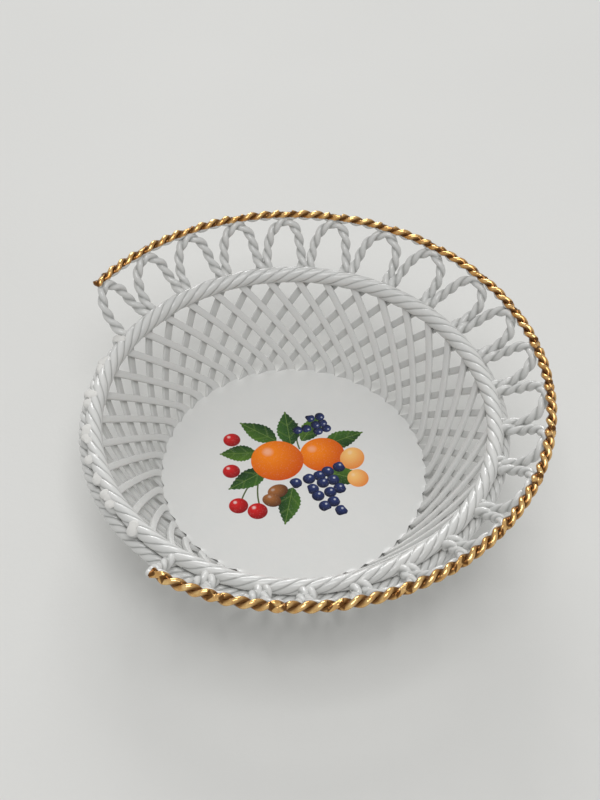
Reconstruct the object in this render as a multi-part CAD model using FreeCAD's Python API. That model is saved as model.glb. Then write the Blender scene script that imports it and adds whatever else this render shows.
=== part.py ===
import FreeCAD
import Part
import math
import os

# A round lattice basket of white glazed porcelain, built by hand from slabs, straps and
# twisted ropes of clay that are stuck together and fired. Millimetres, +Z up. The origin is
# the centre of the flat underside. Angles run anticlockwise from +X, seen from above, and
# the side of the border that is broken away faces -X.

# Floor
plate_top_radius = 69.4
plate_thickness = 5.0
plate_edge_round = 0.8

# Wall of two crossing layers of flat straps, the inner one leaning one way, the outer the other
wall_rise = 42.6
wall_flare = 27.6
strap_count = 39
straps_per_node = 3
strap_width = 4.0
strap_thickness = 2.1
strap_foot_height = 0.4
strap_twist_deg = 27.4
twist_ease_share = 0.23
inner_phase_deg = 7.4
outer_phase_deg = 4.4
strap_section_count = 6

# Ropes that ring the mouth
rim_rope_diameter = 8.5
rim_seat_depth = 0.8
collar_rope_diameter = 6.4
collar_stand_off = 1.0

# Open border of rope arches under a gilt edge rope
gilt_spread = 23.7
gilt_rise = 22.6
gilt_rope_diameter = 4.6
arch_rope_diameter = 4.7
arch_lean_deg = 9.0
arch_count = 21
broken_count = 6
first_arch_deg = 146.7
gilt_overhang_deg = 1.6
apex_press = 1.7
foot_run_in = 3.0

# How far each whole arch's apex is from the next one's, clockwise, as a share of the mean
# pitch: the border was laid by eye
apex_step_shares = (
    1.0275, 0.9825, 0.9825, 0.9600, 0.9675, 1.0200, 1.0050, 1.0650, 0.9750, 0.9675,
    0.9750, 1.0125, 1.0125, 1.1025, 1.0050, 0.9825, 1.0275, 0.8400, 0.9225, 0.9450,
)

# What the broken arches leave on the collar: the height of each stump over its foot, as a
# share of a whole arch, in pairs of legs from the back round to the front
stump_height_shares = (0.20, 0.05, 0.03, 0.09, 0.05, 0.10, 0.12, 0.06, 0.04, 0.13, 0.08, 0.18)
stump_break_deg = 24.0

# Clearances
seat_gap = 0.12
layer_gap = 0.12
leg_gap = 0.9

wall_slant = math.hypot(wall_flare, wall_rise)
slope_out = wall_flare / wall_slant
slope_up = wall_rise / wall_slant
origin = FreeCAD.Vector(0, 0, 0)
up = FreeCAD.Vector(0, 0, 1)
rim_tube = rim_rope_diameter / 2
collar_tube = collar_rope_diameter / 2
gilt_tube = gilt_rope_diameter / 2
arch_tube = arch_rope_diameter / 2
wall_top_radius = plate_top_radius + wall_flare
wall_top_height = plate_thickness + wall_rise


def nook(first, first_reach, second, second_reach):
    """Point outside two circles, at the given distances from their centres."""
    across = second[0] - first[0]
    rise = second[1] - first[1]
    span = math.hypot(across, rise)
    along = (first_reach ** 2 - second_reach ** 2 + span ** 2) / (2 * span)
    out = math.sqrt(first_reach ** 2 - along ** 2)
    radius = first[0] + (across * along - rise * out) / span
    height = first[1] + (rise * along + across * out) / span
    return radius, height


# The rim rope sits on the straps' top ends
rim_reach = rim_tube + seat_gap
rim_ring_radius = wall_top_radius + rim_seat_depth * slope_up + rim_reach * slope_out
rim_height = wall_top_height - rim_seat_depth * slope_out + rim_reach * slope_up
gilt_ring_radius = rim_ring_radius + gilt_spread
gilt_height = rim_height + gilt_rise

# The collar rope lies under the rim rope, a little off the outer straps' top corner
wall_depth = 2 * strap_thickness + layer_gap
collar_ring_radius, collar_height = nook(
    (rim_ring_radius, rim_height), rim_tube + collar_tube + seat_gap,
    (wall_top_radius + wall_depth * slope_up, wall_top_height - wall_depth * slope_out),
    collar_tube + collar_stand_off,
)

foot_radius, foot_height = nook(
    (rim_ring_radius, rim_height), rim_tube + arch_tube + seat_gap,
    (collar_ring_radius, collar_height), collar_tube + arch_tube + seat_gap,
)
border_slant = math.hypot(gilt_ring_radius - foot_radius, gilt_height - foot_height)
border_out = (gilt_ring_radius - foot_radius) / border_slant
border_up = (gilt_height - foot_height) / border_slant
arch_height = border_slant - gilt_tube - arch_tube + apex_press
mean_pitch_deg = 360 / (arch_count + broken_count)
lean = math.radians(arch_lean_deg)


def ring_rope(ring_radius, tube, height, start_deg=0, sweep_deg=360):
    """A round rope laid in a level ring or part of one."""
    rope = Part.makeTorus(ring_radius, tube, origin + up * height, up, 0, 360, sweep_deg)
    rope.rotate(origin, up, start_deg)
    return rope


def floor_plate():
    """A slab whose sloping edge carries the feet of the inner straps."""
    set_back = seat_gap / slope_up
    top_radius = plate_top_radius - set_back
    bottom_radius = top_radius - plate_thickness * slope_out / slope_up
    slab = Part.makeCone(bottom_radius, top_radius, plate_thickness)
    rims = [edge for edge in slab.Edges if edge.isClosed()]
    underside = [edge for edge in rims if edge.CenterOfMass.z < plate_thickness / 2]
    return slab.makeFillet(plate_edge_round, underside)


def wall_point(share, depth, angle):
    """Point of the wall: share of the way up, depth outwards from its inner face."""
    run = share * wall_slant
    radius = plate_top_radius + run * slope_out + depth * slope_up
    height = plate_thickness + run * slope_up - depth * slope_out
    return FreeCAD.Vector(radius * math.cos(angle), radius * math.sin(angle), height)


def strap(phase_deg, turn, depth):
    """One flat strap from the floor's edge to the rim rope."""
    twist = math.radians(strap_twist_deg) * turn
    low = (strap_foot_height + (depth + strap_thickness) * slope_out - plate_thickness) / wall_rise
    sections = []
    for step in range(strap_section_count):
        share = low + (1 - low) * step / (strap_section_count - 1)
        ease = 1 + twist_ease_share * (1 - share)
        angle = math.radians(phase_deg) + twist * share * ease
        radius = plate_top_radius + share * wall_slant * slope_out
        turn_rate = twist * (1 + twist_ease_share * (1 - 2 * share)) / wall_slant
        half_width = strap_width / 2 * math.hypot(1, radius * turn_rate)
        half_angle = half_width / radius
        corners = [
            wall_point(share, depth, angle - half_angle),
            wall_point(share, depth, angle + half_angle),
            wall_point(share, depth + strap_thickness, angle + half_angle),
            wall_point(share, depth + strap_thickness, angle - half_angle),
        ]
        sections.append(Part.makePolygon(corners + corners[:1]))
    return Part.makeLoft(sections, True)


def strap_group(first, phase_deg, turn, depth):
    pitch = 360 / strap_count
    numbers = range(first, min(first + straps_per_node, strap_count))
    return Part.makeCompound([strap(phase_deg + pitch * n, turn, depth) for n in numbers])


def border_point(angle, across, rise):
    """Point of an arch's own leaning plane: across it, and up its slope from the feet."""
    radius = foot_radius + rise * border_out
    height = foot_height + rise * border_up
    x = radius * math.cos(angle) - across * math.sin(angle)
    y = radius * math.sin(angle) + across * math.cos(angle)
    return FreeCAD.Vector(x, y, height)


def leg_point(angle, spacing, side, run):
    """Point on the middle line of an arch's leg, run along it from the level of the feet."""
    across = side * spacing / 2 - run * math.sin(lean)
    return border_point(angle, across, run * math.cos(lean))


def arch_steps():
    """Each arch's steps to its neighbours in degrees, whole arches first, then the broken ones.

    The broken arches share out what the whole ones leave of the circle.
    """
    shares = [apex_step_shares[n % len(apex_step_shares)] for n in range(arch_count - 1)]
    whole = [mean_pitch_deg * share for share in shares]
    broken = [(360 - sum(whole)) / (broken_count + 1)] * (broken_count + 1)
    return whole + broken


def arch_place(number):
    """Where an arch has its apex, the middle of its feet, and how far apart its legs are."""
    steps = arch_steps()
    before, after = steps[number - 1], steps[number]
    apex_deg = first_arch_deg - sum(steps[:number])
    spacing = foot_radius * math.radians(before + after) / 2 - arch_rope_diameter - leg_gap
    run = arch_height / math.cos(lean) - spacing / 2
    shift_deg = math.degrees(run * math.sin(lean) / gilt_ring_radius)
    middle_deg = apex_deg + shift_deg + (before - after) / 4
    return middle_deg, spacing


def seated(rope, seats):
    """Cuts a rope where it is pressed against the ropes that it sits on."""
    for ring_radius, tube, height in seats:
        rope = rope.cut(ring_rope(ring_radius, tube + seat_gap, height))
    return rope.Solids[0]


foot_seats = (
    (rim_ring_radius, rim_tube, rim_height),
    (collar_ring_radius, collar_tube, collar_height),
)
apex_seats = ((gilt_ring_radius, gilt_tube, gilt_height),)


def border_arch(spacing):
    """A hairpin of rope: two legs in the nook over the collar, and a crown under the gilt.

    Its feet are either side of +X.
    """
    crown_run = arch_height / math.cos(lean) - spacing / 2
    skew = spacing / 2 * math.sin(lean)
    start = leg_point(0, spacing, 1, -foot_run_in)
    first_bend = leg_point(0, spacing, 1, crown_run + skew)
    crown = border_point(0, -crown_run * math.sin(lean), arch_height)
    second_bend = leg_point(0, spacing, -1, crown_run - skew)
    end = leg_point(0, spacing, -1, -foot_run_in)
    path = Part.Wire([
        Part.LineSegment(start, first_bend).toShape(),
        Part.Arc(first_bend, crown, second_bend).toShape(),
        Part.LineSegment(second_bend, end).toShape(),
    ])
    section = Part.Wire(Part.makeCircle(arch_tube, start, first_bend - start))
    rope = path.makePipeShell([section], True, False)
    return seated(rope, foot_seats + apex_seats)


def stump(middle_deg, spacing, side, height):
    """What is left of one leg of the arch that stood here, with a slanting break."""
    angle = math.radians(middle_deg)
    foot = leg_point(angle, spacing, side, -foot_run_in)
    top = leg_point(angle, spacing, side, height + arch_tube)
    axis = top - foot
    leg = Part.makeCylinder(arch_tube, axis.Length, foot, axis)
    across = FreeCAD.Vector(-math.sin(angle), math.cos(angle), 0)
    broken_at = leg_point(angle, spacing, side, height)
    waste = Part.makeCylinder(arch_rope_diameter, arch_rope_diameter, broken_at, axis)
    waste.rotate(broken_at, across, side * stump_break_deg)
    return seated(leg.cut(waste), foot_seats)


def broken_arch_stubs():
    stumps = []
    for number in range(broken_count):
        middle_deg, spacing = arch_place(arch_count + broken_count - 1 - number)
        shares = stump_height_shares[2 * number:2 * number + 2]
        for side, share in zip((-1, 1), shares):
            stumps.append(stump(middle_deg, spacing, side, share * arch_height))
    return Part.makeCompound(stumps)


def gilt_edge_rope():
    sweep_deg = sum(arch_steps()[:arch_count - 1]) + 2 * gilt_overhang_deg
    start_deg = first_arch_deg + gilt_overhang_deg - sweep_deg
    return ring_rope(gilt_ring_radius, gilt_tube, gilt_height, start_deg, sweep_deg)


def build():
    nodes = {"floor_plate": floor_plate()}
    for first in range(0, strap_count, straps_per_node):
        name = "straps_%02d" % (first // straps_per_node + 1)
        outer_depth = strap_thickness + layer_gap
        nodes["inner_" + name] = strap_group(first, inner_phase_deg, 1, 0)
        nodes["outer_" + name] = strap_group(first, outer_phase_deg, -1, outer_depth)
    nodes["rim_rope"] = ring_rope(rim_ring_radius, rim_tube, rim_height)
    nodes["collar_rope"] = ring_rope(collar_ring_radius, collar_tube, collar_height)
    for number in range(arch_count):
        middle_deg, spacing = arch_place(number)
        arch = border_arch(spacing)
        arch.rotate(origin, up, middle_deg)
        nodes["border_arch_%02d" % (number + 1)] = arch
    nodes["broken_arch_stubs"] = broken_arch_stubs()
    nodes["gilt_edge_rope"] = gilt_edge_rope()
    return nodes


def main():
    os.makedirs("parts", exist_ok=True)
    for name, shape in build().items():
        shape.exportStep(os.path.join("parts", name + ".step"))
        print(name, len(shape.Solids), "solids", round(shape.Volume, 1), "mm3")
    print("rim", round(rim_ring_radius, 2), round(rim_height, 2))
    print("collar", round(collar_ring_radius, 2), round(collar_height, 2))
    print("arch foot", round(foot_radius, 2), round(foot_height, 2), "height", round(arch_height, 2))
    for number in range(arch_count + broken_count):
        middle_deg, spacing = arch_place(number)
        print("arch", number + 1, "middle", round(middle_deg, 2), "spacing", round(spacing, 2))
    print("gilt edge", round(gilt_ring_radius, 2), round(gilt_height, 2))


main()
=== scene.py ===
import math
import random

import bmesh
import bpy
from mathutils import Matrix, Vector


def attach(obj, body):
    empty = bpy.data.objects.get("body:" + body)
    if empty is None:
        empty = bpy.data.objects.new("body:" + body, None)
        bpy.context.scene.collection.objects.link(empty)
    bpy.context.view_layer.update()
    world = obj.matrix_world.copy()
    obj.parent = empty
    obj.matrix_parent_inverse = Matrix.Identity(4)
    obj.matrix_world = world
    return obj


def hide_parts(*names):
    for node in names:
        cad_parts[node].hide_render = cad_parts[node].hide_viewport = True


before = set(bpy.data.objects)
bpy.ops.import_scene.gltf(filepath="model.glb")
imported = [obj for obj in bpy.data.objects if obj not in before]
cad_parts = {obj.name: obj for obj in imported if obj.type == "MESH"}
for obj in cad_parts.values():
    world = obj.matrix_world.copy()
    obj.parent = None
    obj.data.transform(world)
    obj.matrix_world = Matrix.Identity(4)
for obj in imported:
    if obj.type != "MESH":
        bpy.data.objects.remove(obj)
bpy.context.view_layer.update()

# The round lattice basket, in metres: the same middle lines as the solids, dressed with
# strands, glaze, gilding and a printed fruit group on the floor.
basket = {
    "floorTop": 0.005, "floorRadius": 0.0694,
    "wallRise": 0.0426, "wallFlare": 0.0276,
    "strapCount": 39, "strapsPerPiece": 3,
    "archCount": 21, "brokenCount": 6, "firstArch": math.radians(146.7),
    "stepShares": (         # from each arch's apex to the next, clockwise, of the mean pitch
        1.0275, 0.9825, 0.9825, 0.96, 0.9675, 1.02, 1.005, 1.065, 0.975, 0.9675,
        0.975, 1.0125, 1.0125, 1.1025, 1.005, 0.9825, 1.0275, 0.84, 0.9225, 0.945),
}
meanPitch = 2 * math.pi / (basket["archCount"] + basket["brokenCount"])
archSteps = [meanPitch * share for share in basket["stepShares"]]
borderSweep = sum(archSteps)
archSteps += [(2 * math.pi - borderSweep) / (basket["brokenCount"] + 1)] * (
    basket["brokenCount"] + 1)
wallSlant = math.hypot(basket["wallRise"], basket["wallFlare"])
slopeOut = basket["wallFlare"] / wallSlant
slopeUp = basket["wallRise"] / wallSlant
nearly = 1e-6                   # points closer than this lie at one place


# Small tools of the bench

def limited(share):             # no less than 0 and no more than 1
    return min(1.0, max(0.0, share))


def deselectAll():
    if bpy.context.object and bpy.context.object.mode != "OBJECT":
        bpy.ops.object.mode_set(mode="OBJECT")
    bpy.ops.object.select_all(action="DESELECT")


def pick(piece):
    deselectAll()
    piece.select_set(True)
    bpy.context.view_layer.objects.active = piece


def modify(piece, kind, **settings):
    pick(piece)
    step = piece.modifiers.new(kind.lower(), kind)
    for key, value in settings.items():
        setattr(step, key, value)
    bpy.ops.object.modifier_apply(modifier=step.name)
    return piece


def freeze(piece):              # takes the piece's placing over into its mesh
    pick(piece)
    bpy.ops.object.transform_apply(location=True, rotation=True, scale=True)
    return piece


def settle(piece, shift=(0, 0, 0), turn=0.0):   # turns about Z, then shifts
    piece.rotation_euler = (0, 0, turn)
    piece.location = shift
    return freeze(piece)


def edit(piece):
    pick(piece)
    bpy.ops.object.mode_set(mode="EDIT")


def leave(piece):
    bpy.ops.object.mode_set(mode="OBJECT")
    return piece


def choose(piece, wanted):      # selects the points that pass the test, in edit mode
    bpy.ops.mesh.select_mode(type="VERT")
    bpy.ops.mesh.select_all(action="DESELECT")
    mesh = bmesh.from_edit_mesh(piece.data)
    for vertex in mesh.verts:
        if wanted(vertex):
            vertex.select_set(True)
    mesh.select_flush(True)
    bmesh.update_edit_mesh(piece.data)


def extrude(x=0.0, y=0.0, z=0.0):
    bpy.ops.mesh.extrude_region_move(TRANSFORM_OT_translate={"value": (x, y, z)})


def grow(*shares):              # about the origin: one share for all ways, or one for each
    value = shares if len(shares) == 3 else shares * 3
    bpy.ops.transform.resize(value=value, center_override=(0, 0, 0))


def copyOf(piece, name, turn):
    pick(piece)
    bpy.ops.object.duplicate()
    twin = bpy.context.object
    twin.name = twin.data.name = name
    return settle(twin, turn=turn)


def joined(pieces, name):
    pick(pieces[0])
    for piece in pieces:
        piece.select_set(True)
    bpy.ops.object.join()
    pieces[0].name = pieces[0].data.name = name
    return pieces[0]


def smooth(piece, angle):
    pick(piece)
    bpy.ops.object.shade_smooth_by_angle(angle=math.radians(angle))
    return piece


def outwards(piece):
    edit(piece)
    bpy.ops.mesh.select_all(action="SELECT")
    bpy.ops.mesh.remove_doubles(threshold=nearly)
    bpy.ops.mesh.normals_make_consistent(inside=False)
    return leave(piece)


def finishPiece(piece, nodes, slot, *materials):
    for material in materials:
        piece.data.materials.append(material)
    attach(piece, "root")
    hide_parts(*nodes)


# Shader maths as plain expressions

class Link:
    def __init__(self, finish, socket):
        self.finish, self.socket = finish, socket

    def maths(self, operation, other=None, swap=False, clamp=False):
        values = [self] if other is None else [other, self] if swap else [self, other]
        settings = {"operation": operation, "use_clamp": clamp}
        return self.finish.node("ShaderNodeMath", settings, dict(enumerate(values)))

    def __add__(self, other):
        return self.maths("ADD", other)

    def __sub__(self, other):
        return self.maths("SUBTRACT", other)

    def __rsub__(self, other):
        return self.maths("SUBTRACT", other, True)

    def __mul__(self, other):
        return self.maths("MULTIPLY", other)

    def __pow__(self, other):
        return self.maths("POWER", other)

    def __abs__(self):
        return self.maths("ABSOLUTE")

    __radd__, __rmul__ = __add__, __mul__

    def clamped(self):
        return self.maths("ADD", 0.0, clamp=True)

    def output(self, key):      # another output of the same node
        return Link(self.finish, self.socket.node.outputs[key])


class Finish:
    def __init__(self, name):
        self.material = bpy.data.materials.new(name)
        self.material.use_nodes = True
        self.tree = self.material.node_tree
        self.tree.nodes.clear()

    def node(self, kind, settings=None, values=None, out=0):
        made = self.tree.nodes.new(kind)
        for key, value in (settings or {}).items():
            setattr(made, key, value)
        for key, value in (values or {}).items():
            if isinstance(value, Link):
                self.tree.links.new(value.socket, made.inputs[key])
            else:
                made.inputs[key].default_value = value
        return Link(self, made.outputs[out]) if made.outputs else None

    def mix(self, share, first, second):
        first, second = (c if isinstance(c, Link) else (*c, 1) for c in (first, second))
        values = {0: share, 6: first, 7: second}
        return self.node("ShaderNodeMix", {"data_type": "RGBA"}, values, out=2)

    def place(self):
        return self.node("ShaderNodeTexCoord", out="Object")

    def noise(self, place, scale, detail, rough=0.55):
        values = {"Vector": place, "Scale": scale, "Detail": detail, "Roughness": rough}
        return self.node("ShaderNodeTexNoise", None, values)

    def attribute(self, name):
        return self.node("ShaderNodeAttribute", {"attribute_name": name}, out="Fac")

    def bump(self, height, strength, distance):
        values = {"Height": height, "Strength": strength, "Distance": distance}
        return self.node("ShaderNodeBump", None, values)

    def surface(self, **values):
        values = {key.replace("_", " "): value for key, value in values.items()}
        shader = self.node("ShaderNodeBsdfPrincipled", None, values)
        self.node("ShaderNodeOutputMaterial", None, {"Surface": shader})
        return self.material


# Painted shade: the darkest grey here is laid into the ropes' grooves and onto strap faces
# under the other layer
glazeLook = {
    "body": (0.66, 0.665, 0.65), "warm": (0.685, 0.68, 0.66), "paintedShade": (0.25, 0.255, 0.242),
    "patchScale": 90.0, "patchGain": 1.6, "patchFrom": 0.45, "shadeCurve": 2.2, "shadeShare": 0.75,
    "speckScale": 420.0, "speckSize": 0.055, "speckEdge": 30, "specks": 0.55,
    "rareScale": 160.0, "rareFrom": 0.66, "rareEdge": 20, "iron": (0.16, 0.13, 0.10),
    "glossScale": 240.0, "roughness": 0.13, "rougher": 0.10, "specular": 0.5, "coat": 0.12,
    "waveScale": 260.0, "waves": 0.8, "peelScale": 900.0, "peel": 0.2,
    "relief": (0.25, 0.0004),
}
# Painted light: the floor's copy of the glaze is made brighter than the ropes' and straps'; its
# lower specular and coat are its own finish
plateLook = dict(
    glazeLook, body=(0.70, 0.705, 0.69), warm=(0.725, 0.72, 0.70), specular=0.22, coat=0.03)
# Painted light on the gold: lit on its upper side, shaded on its lower one, with brown shade in
# its hollows
gildingLook = {
    "shaded": (0.58, 0.27, 0.07), "lit": (0.96, 0.67, 0.30), "brownShade": (0.13, 0.048, 0.012),
    "toneScale": 320.0, "tones": 1.8, "uppers": 0.7, "litFrom": 0.95,
    "wearScale": 700.0, "wear": 0.5, "wornTo": 0.72, "wornEdge": 9,
    "hollowGain": 1.8, "hollowFrom": 0.25, "hollows": 0.92,
    "roughness": 0.08, "rougher": 0.14, "grainScale": 650.0, "relief": (0.4, 0.0004),
}
breakLook = {
    "pale": (0.74, 0.735, 0.71), "dull": (0.66, 0.65, 0.62), "grainScale": 1400.0,
    "roughness": 0.7, "relief": (0.3, 0.00008),
}


def glazeColour(finish, place, look):
    # Here and there the glaze is a little warmer, and it has a few iron specks
    patches = finish.noise(place, look["patchScale"], 3.0)
    warmth = (patches * look["patchGain"] - look["patchFrom"]).clamped()
    colour = finish.mix(warmth, look["body"], look["warm"])
    cells = {"Vector": place, "Scale": look["speckScale"]}
    speck = finish.node("ShaderNodeTexVoronoi", None, cells)
    rare = finish.noise(place, look["rareScale"], 1.0)
    share = ((look["speckSize"] - speck) * look["speckEdge"]).clamped()
    share = share * ((rare - look["rareFrom"]) * look["rareEdge"]).clamped()
    return finish.mix(share * look["specks"], colour, look["iron"])


def glazeSurface(finish, place, look, colour):
    gloss = finish.noise(place, look["glossScale"], 2.0)
    slow = finish.noise(place, look["waveScale"], 2.0)
    fine = finish.noise(place, look["peelScale"], 2.0)
    relief = finish.bump(slow * look["waves"] + fine * look["peel"], *look["relief"])
    return finish.surface(
        Base_Color=colour, Roughness=gloss * look["rougher"] + look["roughness"],
        Specular_IOR_Level=look["specular"], Coat_Weight=look["coat"], Coat_Roughness=0.05,
        IOR=1.5, Normal=relief)


def whiteGlaze():
    # Painted shade: the glaze is painted greyer in the ropes' grooves and on the strap faces
    # that lie under the other layer
    look, finish = glazeLook, Finish("whiteGlaze")
    place = finish.place()
    hollow = (1 - finish.attribute("ridgeLight")).clamped() ** look["shadeCurve"]
    colour = glazeColour(finish, place, look)
    colour = finish.mix(hollow * look["shadeShare"], colour, look["paintedShade"])
    return glazeSurface(finish, place, look, colour)


def gildedGlaze():
    look, finish = gildingLook, Finish("gilding")
    place = finish.place()
    # The gold is painted lit on its upper side and shaded on its lower one, and brown shade is
    # painted in its hollows
    tone = finish.noise(place, look["toneScale"], 2.0)
    light = finish.attribute("upper") * look["uppers"] + tone * look["tones"]
    gold = finish.mix((light - look["litFrom"]).clamped(), look["shaded"], look["lit"])
    hollow = (1 - finish.attribute("ridgeLight")) * look["hollowGain"] - look["hollowFrom"]
    gold = finish.mix(hollow.clamped() * look["hollows"], gold, look["brownShade"])
    wear = finish.noise(place, look["wearScale"], 3.0)
    share = finish.attribute("gilded") + wear * look["wear"] - look["wornTo"]
    share = (share * look["wornEdge"]).clamped()
    white = glazeColour(finish, place, glazeLook)
    grain = finish.noise(place, look["grainScale"], 2.0)
    return finish.surface(
        Base_Color=finish.mix(share, white, gold), Metallic=share,
        Roughness=tone * look["rougher"] + look["roughness"], IOR=1.5,
        Normal=finish.bump(grain, *look["relief"]))


def bareBreak():
    look, finish = breakLook, Finish("bareBreak")
    grain = finish.noise(finish.place(), look["grainScale"], 3.0, 0.6)
    return finish.surface(
        Base_Color=finish.mix(grain, look["pale"], look["dull"]),
        Roughness=look["roughness"], Normal=finish.bump(grain, *look["relief"]))


# Printed fruit group: each motif is laid over the canvas by a mask of its own

amber, rust = (0.88, 0.22, 0.004), (0.58, 0.07, 0.001)
scarlet, wine = (0.58, 0.012, 0.012), (0.20, 0.002, 0.004)
inkBlue, night = (0.02, 0.035, 0.14), (0.002, 0.003, 0.014)
apricot, blush = (0.88, 0.50, 0.16), (0.74, 0.22, 0.04)
hazel, bark = (0.32, 0.12, 0.035), (0.07, 0.02, 0.006)
fruitPrint = {                  # lengths in millimetres, turns in degrees
    "softEdge": 0.22, "grainScale": 1500.0, "grain": 0.6, "grainFrom": 0.34,
    "stems": (                  # x, y, length, turn
        (-24, -17, 10, 70), (-17, -19, 10, 98), (2, 22, 9, 95), (24, 14, 8, 40),
    ),
    "leaves": (                 # x, y, length, width, turn, tone from 0, dark, to 1, light
        (-20, 24, 12, 6.5, 150, 0.5), (-4, 27, 12, 7, 100, 0.15), (9, 28, 11, 6, 60, 0.7),
        (26, 21, 12, 6.5, 25, 0.3), (-30, 9, 10, 6, 185, 0.7), (-24, -8, 12, 6.5, 215, 0.2),
        (27, -4, 12, 6.5, -15, 0.55), (-2, -24, 12, 6.5, 262, 0.35),
    ),
    "balls": (                  # x, y, width, height, turn, light colour, dark colour, shine
        (15, 10, 12.0, 11.2, 15, amber, rust, 0.2),         # two oranges, one behind the other
        (-9, 5, 14.0, 13.2, 0, amber, rust, 0.25),
        (31, 8, 6.4, 7.4, -20, apricot, blush, 0.2),        # apricots
        (34, -5, 5.6, 5.8, 10, apricot, blush, 0.2),
        (-28, -25, 5.0, 4.8, 0, scarlet, wine, 0.55),       # cherries
        (-18, -28, 5.2, 5.0, 0, scarlet, wine, 0.55),
        (-33, -3, 4.6, 4.4, 0, scarlet, wine, 0.5),
        (-34, 18, 4.6, 4.4, 0, scarlet, wine, 0.5),
        (-8, -15, 5.5, 4.2, 25, hazel, bark, 0.25),         # hazelnuts
        (-11, -21, 5.0, 4.0, -20, hazel, bark, 0.25),
    ),
    "bunches": (                # x, y, pitch of the grapes, turn, rows, light and dark colour
        (9, 2, 6.2, -62, 5.6, inkBlue, night),
        (20, 35, 5.0, 205, 4.0, inkBlue, night),
    ),
}
ballLook = {                    # places and sizes in shares of the ball's own
    "litAt": (-0.35, 0.35), "fall": 0.85, "fallFrom": 0.25,
    "spotAt": (-0.38, 0.42), "spotSize": 0.26, "spotEdge": 6, "spot": (0.92, 0.90, 0.86),
}
grapeLook = {                   # the same, in pitches of the bunch
    "litAt": (-0.18, 0.18), "fall": 1.5, "fallFrom": 0.15,
    "spotAt": (-0.16, 0.18), "spotSize": 0.13, "spotEdge": 14, "spot": (0.75, 0.78, 0.84),
    "shine": 0.6, "scatter": 0.24, "size": 0.54, "wedge": 0.42, "tipWidth": 0.25,
    "firstRow": 0.45, "sharp": 20000,
}
leafLook = {
    "teeth": 34, "toothDepth": 0.035, "belly": 0.86, "taper": 0.30,
    "light": (0.03, 0.11, 0.015), "lighter": (0.07, 0.09, 0.0),
    "dark": (0.003, 0.022, 0.006), "lessDark": (0.0, 0.02, 0.0), "halves": 0.55,
    "vein": 0.045, "veinEdge": 30, "ribs": 9, "ribSlant": 5, "ribEdge": 3, "ribFrom": 2.3,
    "ribShare": 0.6, "veinShare": 0.6, "veinColour": (0.18, 0.28, 0.06),
}
stemLook = {"width": 0.42, "bow": 3.0, "colour": (0.07, 0.10, 0.025)}


def softMask(inside, scale):    # 1 inside, with the print's soft edge on a motif of this scale
    return (inside * (scale / fruitPrint["softEdge"]) + 0.5).clamped()


def motifPlace(finish, canvas, x, y, width, height, turn):
    values = {
        "Vector": canvas, "Location": (x, y, 0),
        "Rotation": (0, 0, math.radians(turn)), "Scale": (width, height, 1)}
    return finish.node("ShaderNodeMapping", {"vector_type": "TEXTURE"}, values)


def reach(finish, place, middle=(0, 0)):
    values = {0: place, 1: (*middle, 0)}
    return finish.node("ShaderNodeVectorMath", {"operation": "DISTANCE"}, values, out=1)


def roundColour(finish, near, look, light, dark, shine):
    # Lit from the upper left, with a spot of shine
    shade = (reach(finish, near, look["litAt"]) * look["fall"] - look["fallFrom"]).clamped()
    spot = (look["spotSize"] - reach(finish, near, look["spotAt"])) * look["spotEdge"]
    colour = finish.mix(shade, light, dark)
    return finish.mix(spot.clamped() * shine, colour, look["spot"])


def paintBall(finish, paint, canvas, x, y, width, height, turn, light, dark, shine):
    near = motifPlace(finish, canvas, x, y, width, height, turn)
    colour = roundColour(finish, near, ballLook, light, dark, shine)
    mask = softMask(1 - reach(finish, near), min(width, height))
    return finish.mix(mask, paint, colour)


def paintBunch(finish, paint, canvas, x, y, pitch, turn, rows, light, dark):
    # Grapes in an uneven pattern, kept where their middles lie inside a wedge
    look = grapeLook
    near = motifPlace(finish, canvas, x, y, pitch, pitch, turn)
    cells = {"Vector": near, "Scale": 1.0, "Randomness": look["scatter"]}
    grape = finish.node("ShaderNodeTexVoronoi", {"voronoi_dimensions": "2D"}, cells)
    middle = grape.output("Position")
    along = finish.node("ShaderNodeSeparateXYZ", None, {0: middle})
    inside = (rows - along) * look["wedge"] + look["tipWidth"] - abs(along.output(1))
    started = ((along - look["firstRow"]) * look["sharp"]).clamped()
    kept = (inside * look["sharp"]).clamped() * started
    values = {0: near, 1: middle}
    offset = finish.node("ShaderNodeVectorMath", {"operation": "SUBTRACT"}, values)
    colour = roundColour(finish, offset, look, light, dark, look["shine"])
    return finish.mix(kept * softMask(look["size"] - grape, pitch), paint, colour)


def paintLeaf(finish, paint, canvas, x, y, length, width, turn, tone):
    look = leafLook
    near = motifPlace(finish, canvas, x, y, length, width, turn)
    along = finish.node("ShaderNodeSeparateXYZ", None, {0: near})
    across = along.output(1)
    side = abs(across)
    teeth = (along * look["teeth"]).maths("SINE") * look["toothDepth"]
    belly = look["belly"] - along.maths("MINIMUM", 1.0) * look["taper"]
    halfWidth = (1 - along * along) * belly + teeth
    light = [low + more * tone for low, more in zip(look["light"], look["lighter"])]
    dark = [low + more * tone for low, more in zip(look["dark"], look["lessDark"])]
    colour = finish.mix((across * look["halves"] + 0.5).clamped(), dark, light)
    vein = ((look["vein"] - side) * look["veinEdge"]).clamped()
    rib = (along * look["ribs"] - side * look["ribSlant"]).maths("SINE")
    rib = (rib * look["ribEdge"] - look["ribFrom"]).clamped()
    veins = (vein + rib * look["ribShare"]).clamped() * look["veinShare"]
    colour = finish.mix(veins, colour, look["veinColour"])
    return finish.mix(softMask(halfWidth - side, width), paint, colour)


def paintStem(finish, paint, canvas, x, y, length, turn):
    near = motifPlace(finish, canvas, x, y, length, stemLook["width"], turn)
    along = finish.node("ShaderNodeSeparateXYZ", None, {0: near})
    side = abs(along.output(1) - (1 - along * along) * stemLook["bow"])
    mask = softMask(1 - side, stemLook["width"]) * softMask(1 - abs(along), length)
    return finish.mix(mask, paint, stemLook["colour"])


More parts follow.
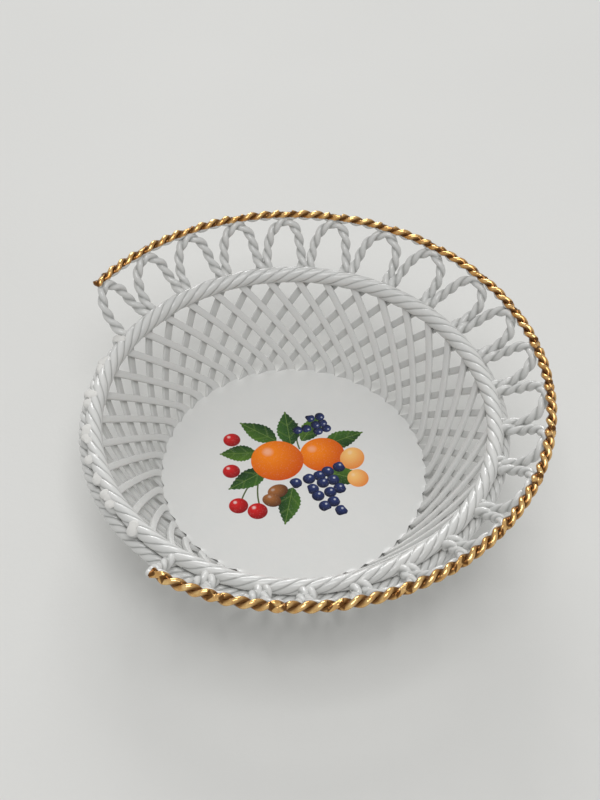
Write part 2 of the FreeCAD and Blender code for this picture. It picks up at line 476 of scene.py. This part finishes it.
def paintedGlaze():
    finish = Finish("paintedGlaze")
    place = finish.place()
    glaze = paint = glazeColour(finish, place, plateLook)
    flat = {0: place, 1: (1000.0, 1000.0, 0.0)}     # millimetres on the floor
    canvas = finish.node("ShaderNodeVectorMath", {"operation": "MULTIPLY"}, flat)
    for motifs, brush in (
            ("stems", paintStem), ("leaves", paintLeaf), ("balls", paintBall),
            ("bunches", paintBunch)):
        for motif in fruitPrint[motifs]:
            paint = brush(finish, paint, canvas, *motif)
    grain = finish.noise(place, fruitPrint["grainScale"], 2.0)
    thin = (grain * fruitPrint["grain"] - fruitPrint["grainFrom"]).clamped()
    return glazeSurface(finish, place, plateLook, finish.mix(thin, paint, glaze))


print("materials")
porcelain = whiteGlaze()
gilding = gildedGlaze()
broken = bareBreak()
printed = paintedGlaze()


# Ropes: one lobed section, screwed along X into a twisted bar, then laid along its line

def ropeSection(rope):
    deselectAll()
    shares = rope["sectionShares"]              # from the crest of a strand to the groove
    perStrand = 2 * (len(shares) - 1)
    bpy.ops.mesh.primitive_circle_add(
        vertices=rope["strands"] * perStrand, radius=rope["tube"], rotation=(0, math.pi / 2, 0))
    section = freeze(bpy.context.object)
    edit(section)
    for step, share in enumerate(shares):
        phases = (step, perStrand - step)
        choose(section, lambda vertex: vertex.index % perStrand in phases)
        grow(share)
    return leave(section)


handmade = bpy.data.textures.new("handmade", "CLOUDS")
handmade.noise_scale, handmade.noise_depth = 0.009, 1


def uneven(piece, amount):      # the slight waver of clay rolled and twisted by hand
    return modify(
        piece, "DISPLACE", texture=handmade, texture_coords="LOCAL", strength=amount,
        mid_level=0.5)


def twistedBar(rope, length, turns):
    bar = ropeSection(rope)
    steps = max(8, round(turns * rope["stepsPerTurn"]))
    modify(
        bar, "SCREW", axis="X", angle=-2 * math.pi * turns, screw_offset=length, steps=steps,
        render_steps=steps, use_merge_vertices=False, use_smooth_shade=True)
    lowest = rope["tube"] * min(rope["sectionShares"])
    # Height on the section, 1 at a strand's crest: it sets where shade is painted into the
    # grooves
    ridgeLight = bar.data.attributes.new("ridgeLight", "FLOAT", "POINT")
    for vertex in bar.data.vertices:
        high = math.hypot(vertex.co.y, vertex.co.z)
        ridgeLight.data[vertex.index].value = (high - lowest) / (rope["tube"] - lowest)
    return bar


def tip(bar, angle):            # turns a bar about its own line
    bar.rotation_euler = (angle, 0, 0)
    freeze(bar)


def closeEnd(bar, atEnd, caps):
    # Draws the open end of a bar along X into a tip, through rings at runs past the end
    ends = [vertex.co.x for vertex in bar.data.vertices]
    last, way = (max(ends), 1) if atEnd else (min(ends), -1)
    edit(bar)
    choose(bar, lambda vertex: abs(vertex.co.x - last) < nearly)
    before = 1.0
    for run, share in caps:
        extrude(run * way)
        grow(1, share / before, share / before)
        before = share
    bpy.ops.mesh.edge_face_add()
    leave(bar)


def ringRope(rope, name, start=0.0, sweep=2 * math.pi):
    length = rope["ringRadius"] * sweep
    bar = twistedBar(rope, length, rope["turns"])
    for atEnd, caps in rope.get("tips", {}).items():
        closeEnd(bar, atEnd, caps)
    if "slant" in rope:         # squeezed across the wall, from inside and outside
        tip(bar, -rope["slant"])
        edit(bar)
        bpy.ops.mesh.select_all(action="SELECT")
        bpy.ops.transform.resize(value=(1, rope["flatter"], rope["longer"]))
        leave(bar)
        tip(bar, rope["slant"])
    bend = sweep * bar.dimensions.x / length
    modify(bar, "SIMPLE_DEFORM", deform_method="BEND", deform_axis="Z", angle=bend)
    settle(bar, (0, -rope["ringRadius"], 0))
    settle(bar, (0, 0, rope["height"]), start + math.pi / 2)
    bar.name = bar.data.name = name
    return uneven(bar, rope["unevenness"])


rimRope = {
    "ringRadius": 0.10005, "height": 0.05083, "tube": 0.00425, "strands": 5, "turns": 16,
    "stepsPerTurn": 40, "sectionShares": (1.0, 0.999, 0.993, 0.975, 0.935, 0.875),
    "unevenness": 0.0007, "slant": math.asin(slopeOut), "flatter": 0.91, "longer": 1.05,
}
print("rim rope")
piece = outwards(ringRope(rimRope, "rimRope"))
finishPiece(smooth(piece, 60), ["rim_rope"], "white_glaze", porcelain)

collarRope = {
    "ringRadius": 0.10485, "height": 0.0452, "tube": 0.0034, "strands": 4, "turns": 30,
    "stepsPerTurn": 32, "sectionShares": (1.0, 0.99, 0.96, 0.90, 0.80),
    "unevenness": 0.0005,
}
print("collar rope")
piece = outwards(ringRope(collarRope, "collarRope"))
finishPiece(smooth(piece, 60), ["collar_rope"], "white_glaze", porcelain)


# Straps: a flat section drawn up the wall, step by step, while it turns about the axis

straps = {
    "width": 0.0047, "thickness": 0.0021, "layerGap": 0.00012, "footHeight": 0.0004,
    "twist": math.radians(27.4), "ease": 0.23, "steps": 16, "edge": 0.0006, "rounding": 3,
    "sharpFrom": math.radians(50),
    "hook": 0.12, "tuck": 0.0020, "tuckEase": 1.5, "topShare": 1.02, "hidden": 0.68,
    "innerPhase": math.radians(7.4), "outerPhase": math.radians(4.4),
}


def strapBlade(turn, depth, phase, tuck):
    def at(share):                              # radius, angle and height of the middle line
        run = share * wallSlant
        low = max(0.0, 1 - share / straps["hook"])
        tucked = tuck * min(1.0, low) ** straps["tuckEase"]
        middle = depth + straps["thickness"] / 2 - tucked
        radius = basket["floorRadius"] + run * slopeOut + middle * slopeUp
        height = basket["floorTop"] + run * slopeUp - middle * slopeOut
        bent = share + (straps["hook"] / 2 * low ** 2 if not tuck else 0)
        angle = phase + turn * straps["twist"] * bent * (1 + straps["ease"] * (1 - share))
        return radius, angle, height

    lowShare = straps["footHeight"] - basket["floorTop"]
    lowShare = (lowShare + (depth + straps["thickness"]) * slopeOut) / basket["wallRise"]
    span = straps["topShare"] - lowShare
    shares = [lowShare + span * k / straps["steps"] for k in range(straps["steps"] + 1)]
    radius, angle, height = at(shares[0])
    deselectAll()
    bpy.ops.mesh.primitive_plane_add(size=1, location=(radius, 0, height))
    blade = bpy.context.object
    blade.rotation_euler = (0, math.asin(slopeOut), 0)
    blade.scale = (straps["thickness"], straps["width"], 1)
    settle(freeze(blade), turn=angle)
    edit(blade)
    bpy.ops.mesh.select_all(action="SELECT")
    for share in shares[1:]:
        nextRadius, nextAngle, nextHeight = at(share)
        out = nextRadius - radius
        extrude(out * math.cos(angle), out * math.sin(angle), nextHeight - height)
        bpy.ops.transform.rotate(
            value=angle - nextAngle, orient_axis="Z", center_override=(0, 0, 0))
        radius, angle, height = nextRadius, nextAngle, nextHeight
    leave(blade)
    outwards(blade)
    modify(
        blade, "BEVEL", width=straps["edge"], segments=straps["rounding"],
        limit_method="ANGLE", angle_limit=straps["sharpFrom"])
    ridgeLight = blade.data.attributes.new("ridgeLight", "FLOAT", "POINT")
    for vertex in blade.data.vertices:      # painted shade on the face that lies under the other layer
        inwards = -vertex.normal.xy.dot(vertex.co.xy.normalized())
        covered = limited(vertex.normal.z * slopeOut + inwards * slopeUp) * (tuck > 0)
        ridgeLight.data[vertex.index].value = 1 - straps["hidden"] * covered
    return smooth(blade, 35)


def layStraps(layer, turn, depth, phase, tuck):
    blade = strapBlade(turn, depth, phase, tuck)
    count, perPiece = basket["strapCount"], basket["strapsPerPiece"]
    for number in range(count // perPiece):
        turns = [2 * math.pi / count * (number * perPiece + k) for k in range(perPiece)]
        copies = [copyOf(blade, "strapCopy", angle) for angle in turns]
        piece = joined(copies, "%sStraps%02d" % (layer, number + 1))
        node = "%s_straps_%02d" % (layer, number + 1)
        finishPiece(piece, [node], "white_glaze", porcelain)
    bpy.data.objects.remove(blade)


print("straps")
layStraps("inner", 1, 0, straps["innerPhase"], 0)
outerDepth = straps["thickness"] + straps["layerGap"]
layStraps("outer", -1, outerDepth, straps["outerPhase"], straps["tuck"])


# Floor: a slab whose top border climbs a little onto each strap, as the glaze does

floorPlate = {
    "bottomRadius": 0.06602, "topRadius": 0.06926, "edgeRound": 0.0008,
    "steps": (                  # up, and then out, or at last out to the top's own radius
        (0.00022, 0.0006), (0.00058, 0.0004), (0.0042, None)),
    "insets": (0.0008, 0.0012, 0.0030), "phases": 12,
    "webShare": 0.35, "webEase": 1.6, "webUnit": 0.001,
    "webOut": (1.1, 1.1, 1.1, 1.05, 0.9, 0.7, 0.45, 0.2, -0.1, -0.35, 0.3, 0.9),
    "webUp": (0.9, 0.85, 0.65, 0.3, 0.05, 0.0, 0.0, 0.0, 0.0, 0.05, 0.4, 0.8),
}


def chooseBorder(slab, ring, step):
    # The points of one ring of the top that lie at this step of a strap's pitch
    phases, pitch = floorPlate["phases"], 2 * math.pi / basket["strapCount"]
    footAngle = straps["innerPhase"] + straps["twist"] * straps["hook"] / 2

    def wanted(vertex):
        off = max(abs(vertex.co.z - basket["floorTop"]), abs(vertex.co.xy.length - ring))
        phase = (math.atan2(vertex.co.y, vertex.co.x) - footAngle) / pitch * phases
        return off < nearly and round(phase) % phases == step

    choose(slab, wanted)


def floorSlab():
    shape = floorPlate
    radius, top = shape["bottomRadius"] - shape["edgeRound"], shape["topRadius"]
    deselectAll()
    bpy.ops.mesh.primitive_circle_add(
        vertices=basket["strapCount"] * shape["phases"], radius=radius, fill_type="NGON")
    slab = bpy.context.object
    edit(slab)
    bpy.ops.mesh.select_all(action="SELECT")
    for up, out in shape["steps"]:
        wider = top if out is None else radius + out
        extrude(z=up)
        grow(wider / radius, wider / radius, 1)
        radius = wider
    for inset in shape["insets"]:
        share = (radius - inset) / radius
        extrude()
        grow(share, share, 1)
        radius -= inset
    for step in range(shape["phases"]):
        out, up = (shape[web][step] * shape["webUnit"] for web in ("webOut", "webUp"))
        for ring, share in ((top - shape["insets"][0], shape["webShare"]), (top, 1.0)):
            wider = (ring + out * share) / ring
            chooseBorder(slab, ring, step)
            grow(wider, wider, 1)
            bpy.ops.transform.translate(value=(0, 0, up * share ** shape["webEase"]))
    leave(slab)
    slab.name = slab.data.name = "floorPlate"
    return outwards(slab)


print("floor")
piece = floorSlab()
finishPiece(smooth(piece, 50), ["floor_plate"], "painted_glaze", printed)


# Border: rope arches that stand on the rim and collar ropes, and the gilt rope on their tops

giltRope = {
    "ringRadius": 0.12375, "height": 0.07343, "tube": 0.0028, "strands": 2,
    "stepsPerTurn": 34, "sectionShares": (1.0, 0.975, 0.905, 0.80, 0.68, 0.56, 0.47),
    "unevenness": 0.0004, "overhang": math.radians(1.6),
    "tips": {
        True: ((0.0004, 0.85), (0.0003, 0.55)),
        False: ((0.0006, 1.0), (0.0008, 0.94), (0.0007, 0.75), (0.0003, 0.4))},
    "leanOut": 0.55, "leanUp": 0.83,            # the way that its pressed and gilded side faces
    "press": (                                  # reach along the rope, least facing, depth
        (0.0036, 0.90, 0.0003), (0.0035, 0.80, 0.0003), (0.0034, 0.70, 0.0003),
        (0.0032, 0.62, 0.0002)),
    "dent": 0.0036, "dentFrom": 0.3, "waist": 0.16, "widen": 0.8, "waistEdge": 5,
    "goldFrom": -0.45, "bareEnd": math.radians(0.75),
}
giltSweep = borderSweep + 2 * giltRope["overhang"]
giltRope["turns"] = round(giltSweep / meanPitch * 2 * 4) / 4    # in quarters of a turn

arches = {
    "tube": 0.0027, "strands": 2, "stepsPerTurn": 32, "lead": 0.0148,
    "sectionShares": (1.0, 0.985, 0.94, 0.87, 0.78, 0.69, 0.62),
    "footRadius": 0.10675, "footHeight": 0.05028, "height": 0.0254,
    "runIn": 0.0030, "out": 0.592, "up": 0.806, "legGap": 0.0042,
    "footIn": 0.0034, "bendRise": 0.009, "bendEase": 1.5,
    "spread": ((0.0085, 1.07), (0.006, 1.07), (0.004, 1.06)),
    "leanFrom": 0.0015, "leanOver": 0.0075, "wobble": 0.0002,
    "tip": ((0.0004, 0.8), (0.0003, 0.55)), "unevenness": 0.0004,
    "firstFoot": 151.5, "lastFoot": -121.5,     # in degrees, like the shifts
    "footShifts": (             # from midway between two apexes to the foot that they share
        0.4, 0.45, 0.25, 0.6, 0.6, 0.9, 1.3, 1.7, 2.1, 2.45,
        3.0, 2.6, 2.7, 1.4, 1.8, 1.0, 1.5, 0.8, 1.4, 0.4),
}
archShapes = {                  # for each leg, shares of the foot's distance and of the height
    "upright": (
        ((0.96, 0.33), (0.90, 0.52), (0.76, 0.73), (0.50, 0.89)),
        ((0.91, 0.27), (0.80, 0.50), (0.68, 0.73), (0.42, 0.90))),
    "leaning": (
        ((0.86, 0.30), (0.72, 0.50), (0.54, 0.73), (0.30, 0.90)),
        ((1.46, 0.30), (1.69, 0.50), (1.71, 0.73), (1.00, 0.93))),
}
apexes = [basket["firstArch"] - sum(archSteps[:n]) for n in range(basket["archCount"])]
shared = [
    (before + after) / 2 + math.radians(shift)
    for before, after, shift in zip(apexes, apexes[1:], arches["footShifts"])]
feet = [math.radians(arches["firstFoot"]), *shared, math.radians(arches["lastFoot"])]


def borderPoint(angle, across, rise):
    low = limited(1 - rise / arches["bendRise"])
    lean = arches["footIn"] * low ** arches["bendEase"]     # the feet lean in on the rim rope
    radius = arches["footRadius"] + rise * arches["out"] - lean * arches["up"]
    height = arches["footHeight"] + rise * arches["up"] + lean * arches["out"]
    x = radius * math.cos(angle) - across * math.sin(angle)
    y = radius * math.sin(angle) + across * math.cos(angle)
    return Vector((x, y, height))


def smoothKnots(points):
    # Gives each point two handles along the line through its neighbours
    knots = []
    for before, at, after in zip(points[:1] + points, points, points[1:] + points[-1:]):
        way = (after - before).normalized()
        arms = [(at - before).length / 3, (after - at).length / 3]
        knots.append((at, at - way * arms[0], at + way * arms[1]))
    return knots


def archLine(number, wobble):
    apex, height, run = apexes[number], arches["height"], arches["runIn"]
    near = arches["legGap"] / 2
    left = arches["footRadius"] * (feet[number] - apex) - (near if number else 0)
    last = number == basket["archCount"] - 1
    right = arches["footRadius"] * (apex - feet[number + 1]) - (0 if last else near)
    lean = limited((left - right - arches["leanFrom"]) / arches["leanOver"])
    upright, leaning = archShapes["upright"], archShapes["leaning"]
    legs = []
    for side, foot in ((0, left), (1, right)):
        leg = [(foot, -run), (foot, 0)]
        for first, second in zip(upright[side], leaning[side]):
            across = first[0] + (second[0] - first[0]) * lean
            rise = first[1] + (second[1] - first[1]) * lean
            leg.append((foot * across + wobble(), rise * height + wobble()))
        legs.append(leg)
    path = legs[0] + [(wobble(), height)] + [(-x, t) for x, t in reversed(legs[1])]
    return smoothKnots([borderPoint(apex, across, rise) for across, rise in path])


def layAlong(rope, knots, name, phase):
    deselectAll()
    bpy.ops.curve.primitive_bezier_curve_add()
    line = bpy.context.object
    line.data.dimensions, line.data.resolution_u = "3D", 32
    spline = line.data.splines[0]
    spline.bezier_points.add(len(knots) - len(spline.bezier_points))
    for point, (at, before, after) in zip(spline.bezier_points, knots):
        point.handle_left_type = point.handle_right_type = "FREE"
        point.co, point.handle_left, point.handle_right = at, before, after
    length = spline.calc_length()
    bar = twistedBar(rope, length, length / rope["lead"])
    closeEnd(bar, True, rope["tip"])
    closeEnd(bar, False, rope["tip"])
    edit(bar)
    for run, share in rope["spread"]:
        choose(bar, lambda vertex: vertex.co.x < run or vertex.co.x > length - run)
        grow(1, share, share)
    leave(bar)
    tip(bar, phase)
    modify(bar, "CURVE", object=line, deform_axis="POS_X")
    uneven(bar, rope["unevenness"])
    bpy.data.objects.remove(line)
    bar.name = bar.data.name = name
    return outwards(bar)


print("arches")
chance = random.Random(7)
for number in range(basket["archCount"]):
    knots = archLine(number, lambda: chance.uniform(-arches["wobble"], arches["wobble"]))
    name, phase = "borderArch%02d" % (number + 1), chance.uniform(0, math.pi)
    piece = layAlong(arches, knots, name, phase)
    node = "border_arch_%02d" % (number + 1)
    finishPiece(smooth(piece, 60), [node], "white_glaze", porcelain)

stubs = {
    "places": (                 # angle and lean in degrees, with the height between them
        (154.3, 0.0008, 14), (163.6, 0.0004, 4), (166.5, 0.0000, -10), (176.3, 0.0006, 8),
        (179.0, 0.0000, -12), (189.3, 0.0007, 10), (192.1, 0.0004, -6), (199.0, 0.0002, 12),
        (205.8, 0.0002, -10), (212.2, 0.0006, 10), (215.3, 0.0002, -8), (225.0, 0.0008, 16)),
    "swell": 1.5, "climb": (-0.0014, 0.0010),   # inwards and up onto the rim rope's shoulder
    "domes": ((0.0003, 0.96), (0.0004, 0.86), (0.0003, 0.66)),
    "foot": ((0.0004, 0.8), (0.0003, 0.55)), "shake": 0.00032, "turnStep": 0.9,
}


def stubRope(degrees, height, lean, seed):
    angle = math.radians(degrees)
    across = height * math.sin(math.radians(lean))
    low, high = borderPoint(angle, 0, -arches["runIn"]), borderPoint(angle, across, height)
    inwards, up = stubs["climb"]
    high += Vector((inwards * math.cos(angle), inwards * math.sin(angle), up))
    length = (high - low).length
    bar = twistedBar(arches, length, length / arches["lead"])
    closeEnd(bar, False, stubs["foot"])
    closeEnd(bar, True, stubs["domes"])
    edit(bar)
    bpy.ops.mesh.select_all(action="SELECT")
    grow(1, stubs["swell"], stubs["swell"])
    choose(bar, lambda vertex: vertex.co.x > length - nearly)
    bpy.ops.transform.vertex_random(offset=stubs["shake"], seed=seed, normal=0.0)
    leave(bar)
    bar.data.materials.append(porcelain)
    bar.data.materials.append(broken)
    for face in bar.data.polygons:
        face.material_index = 1 if face.center.x > length + stubs["domes"][0][0] else 0
    way = (high - low).normalized().to_track_quat("X", "Z")
    turned = Matrix.Rotation(seed * stubs["turnStep"], 4, "X")
    bar.matrix_world = Matrix.Translation(low) @ way.to_matrix().to_4x4() @ turned
    return outwards(freeze(bar))


print("stubs")
stumps = [stubRope(*stump, seed) for seed, stump in enumerate(stubs["places"])]
piece = joined(stumps, "brokenArchStubs")
finishPiece(smooth(piece, 40), ["broken_arch_stubs"], "bare_break")


def facing(vertex):             # how far a point lies to the gilt rope's upper outer side
    out = (vertex.co.xy.length - giltRope["ringRadius"]) / giltRope["tube"]
    rise = (vertex.co.z - giltRope["height"]) / giltRope["tube"]
    return out * giltRope["leanOut"] + rise * giltRope["leanUp"]


def along(vertex, angle):       # how far a point lies from an angle, along the gilt rope
    turn = math.atan2(vertex.co.y, vertex.co.x) - angle
    return abs((turn + math.pi) % (2 * math.pi) - math.pi) * giltRope["ringRadius"]


def pressOnArches(bar):
    # The gilt rope was pressed down on each arch, which left a flat dented place
    edit(bar)
    for apex in apexes:
        for spread, above, depth in giltRope["press"]:
            choose(bar, lambda vertex: along(vertex, apex) < spread and facing(vertex) > above)
            inwards, down = -depth * giltRope["leanOut"], -depth * giltRope["leanUp"]
            bpy.ops.transform.translate(
                value=(inwards * math.cos(apex), inwards * math.sin(apex), down))
    leave(bar)


def gild(bar):
    # Writes where gold lies, where it faces up for its painted light and shade, and where it is
    # painted bright (1) or in brown shade (0)
    gilded = bar.data.attributes.new("gilded", "FLOAT", "POINT")
    upper = bar.data.attributes.new("upper", "FLOAT", "POINT")
    ridgeLight = bar.data.attributes["ridgeLight"]
    tube, lowest = giltRope["tube"], giltRope["tube"] * min(giltRope["sectionShares"])
    bareMiddle = apexes[-1] - giltRope["overhang"] - giltRope["bareEnd"]
    bareLength = giltRope["bareEnd"] * giltRope["ringRadius"]
    for vertex in bar.data.vertices:
        out = vertex.co.xy.length - giltRope["ringRadius"]
        rise = vertex.co.z - giltRope["height"]
        worth = (math.hypot(out, rise) - lowest) / (tube - lowest)
        away = min(along(vertex, apex) for apex in apexes) / giltRope["dent"]
        if away < 1 and facing(vertex) > giltRope["dentFrom"]:      # painted bright as an hourglass, with painted brown shade beside it
            off = abs(out * giltRope["leanUp"] - rise * giltRope["leanOut"]) / tube
            beside = away - giltRope["waist"] - giltRope["widen"] * off
            worth = 1 - limited(beside * giltRope["waistEdge"])
        ridgeLight.data[vertex.index].value = worth
        shown = facing(vertex) - giltRope["goldFrom"] + 0.5
        if along(vertex, bareMiddle) < bareLength:
            shown = 0.0
        gilded.data[vertex.index].value = limited(shown)
        upper.data[vertex.index].value = limited(0.5 + facing(vertex) * 0.5)


print("gilt rope")
giltStart = basket["firstArch"] + giltRope["overhang"] - giltSweep
bar = outwards(ringRope(giltRope, "giltEdgeRope", giltStart, giltSweep))
pressOnArches(bar)
gild(bar)
finishPiece(smooth(bar, 60), ["gilt_edge_rope"], "gilding", gilding)


# Ground, light and camera

print("stage")
stage = {
    "size": 2.4, "height": -0.0002, "colour": (0.735, 0.735, 0.715),
    "shade": (0.69, 0.69, 0.67), "cloudScale": 3.0, "cloudGain": 1.5, "cloudFrom": 0.3,
    "fibreScale": 500.0, "relief": (0.15, 0.0003), "roughness": 0.9,
    "world": 0.47, "backdrop": 0.62, "lampAim": (0, 0, 0.03),
    "lamps": (                                  # place, size, watts
        ((0.06, -0.30, 1.40), 0.8, 7.2),
        ((-0.30, 2.80, 1.45), 1.4, 40.0)),
}


def groundPaper():
    finish = Finish("groundPaper")
    place = finish.place()
    cloud = finish.noise(place, stage["cloudScale"], 3.0)
    fibre = finish.noise(place, stage["fibreScale"], 2.0)
    shaded = (cloud * stage["cloudGain"] - stage["cloudFrom"]).clamped()
    return finish.surface(
        Base_Color=finish.mix(shaded, stage["colour"], stage["shade"]),
        Roughness=stage["roughness"], Normal=finish.bump(fibre, *stage["relief"]))


deselectAll()
bpy.ops.mesh.primitive_plane_add(size=stage["size"], location=(0, 0, stage["height"]))
ground = freeze(bpy.context.object)
ground.name = "ground"
ground.data.materials.append(groundPaper())

# One grey all round gives the light; the camera and the reflections see a paler one
world = bpy.data.worlds.new("studio")
bpy.context.scene.world = world
world.use_nodes = True
nodes, wires = world.node_tree.nodes, world.node_tree.links
back = nodes["Background"]
back.inputs["Color"].default_value = (1.0, 1.0, 1.0, 1)
rays = nodes.new("ShaderNodeLightPath")
seen = nodes.new("ShaderNodeMath")
seen.operation = "MAXIMUM"
level = nodes.new("ShaderNodeMapRange")
level.inputs["To Min"].default_value = stage["world"]
level.inputs["To Max"].default_value = stage["backdrop"]
wires.new(rays.outputs["Is Camera Ray"], seen.inputs[0])
wires.new(rays.outputs["Is Glossy Ray"], seen.inputs[1])
wires.new(seen.outputs[0], level.inputs["Value"])
wires.new(level.outputs["Result"], back.inputs["Strength"])

for number, (spot, size, watts) in enumerate(stage["lamps"]):
    deselectAll()
    bpy.ops.object.light_add(type="AREA", location=spot)
    lamp = bpy.context.object
    lamp.name = "softbox%d" % (number + 1)
    lamp.data.size, lamp.data.energy = size, watts
    aim = Vector(stage["lampAim"]) - lamp.location
    lamp.rotation_euler = aim.to_track_quat("-Z", "Y").to_euler()

camera = {
    "aim": (0.00222, 0.00914, 0.05078), "distance": 0.6076,
    "down": math.radians(50.0), "roll": math.radians(1.61),
    "lens": 54.0, "sensor": 36.0, "clip": (0.01, 20.0),
}
right = Vector((1, 0, 0))
upward = Vector((0, math.sin(camera["down"]), math.cos(camera["down"])))
ahead = Vector((0, math.cos(camera["down"]), -math.sin(camera["down"])))
sideAxis = right * math.cos(camera["roll"]) + upward * math.sin(camera["roll"])
upAxis = upward * math.cos(camera["roll"]) - right * math.sin(camera["roll"])
deselectAll()
bpy.ops.object.camera_add()
eye = bpy.context.object
turned = Matrix((sideAxis, upAxis, -ahead)).transposed().to_4x4()
stand = Vector(camera["aim"]) - ahead * camera["distance"]
eye.matrix_world = Matrix.Translation(stand) @ turned
eye.data.lens, eye.data.sensor_width = camera["lens"], camera["sensor"]
eye.data.sensor_fit = "AUTO"
eye.data.clip_start, eye.data.clip_end = camera["clip"]
bpy.context.scene.camera = eye
bpy.context.scene.view_settings.view_transform = "Standard"
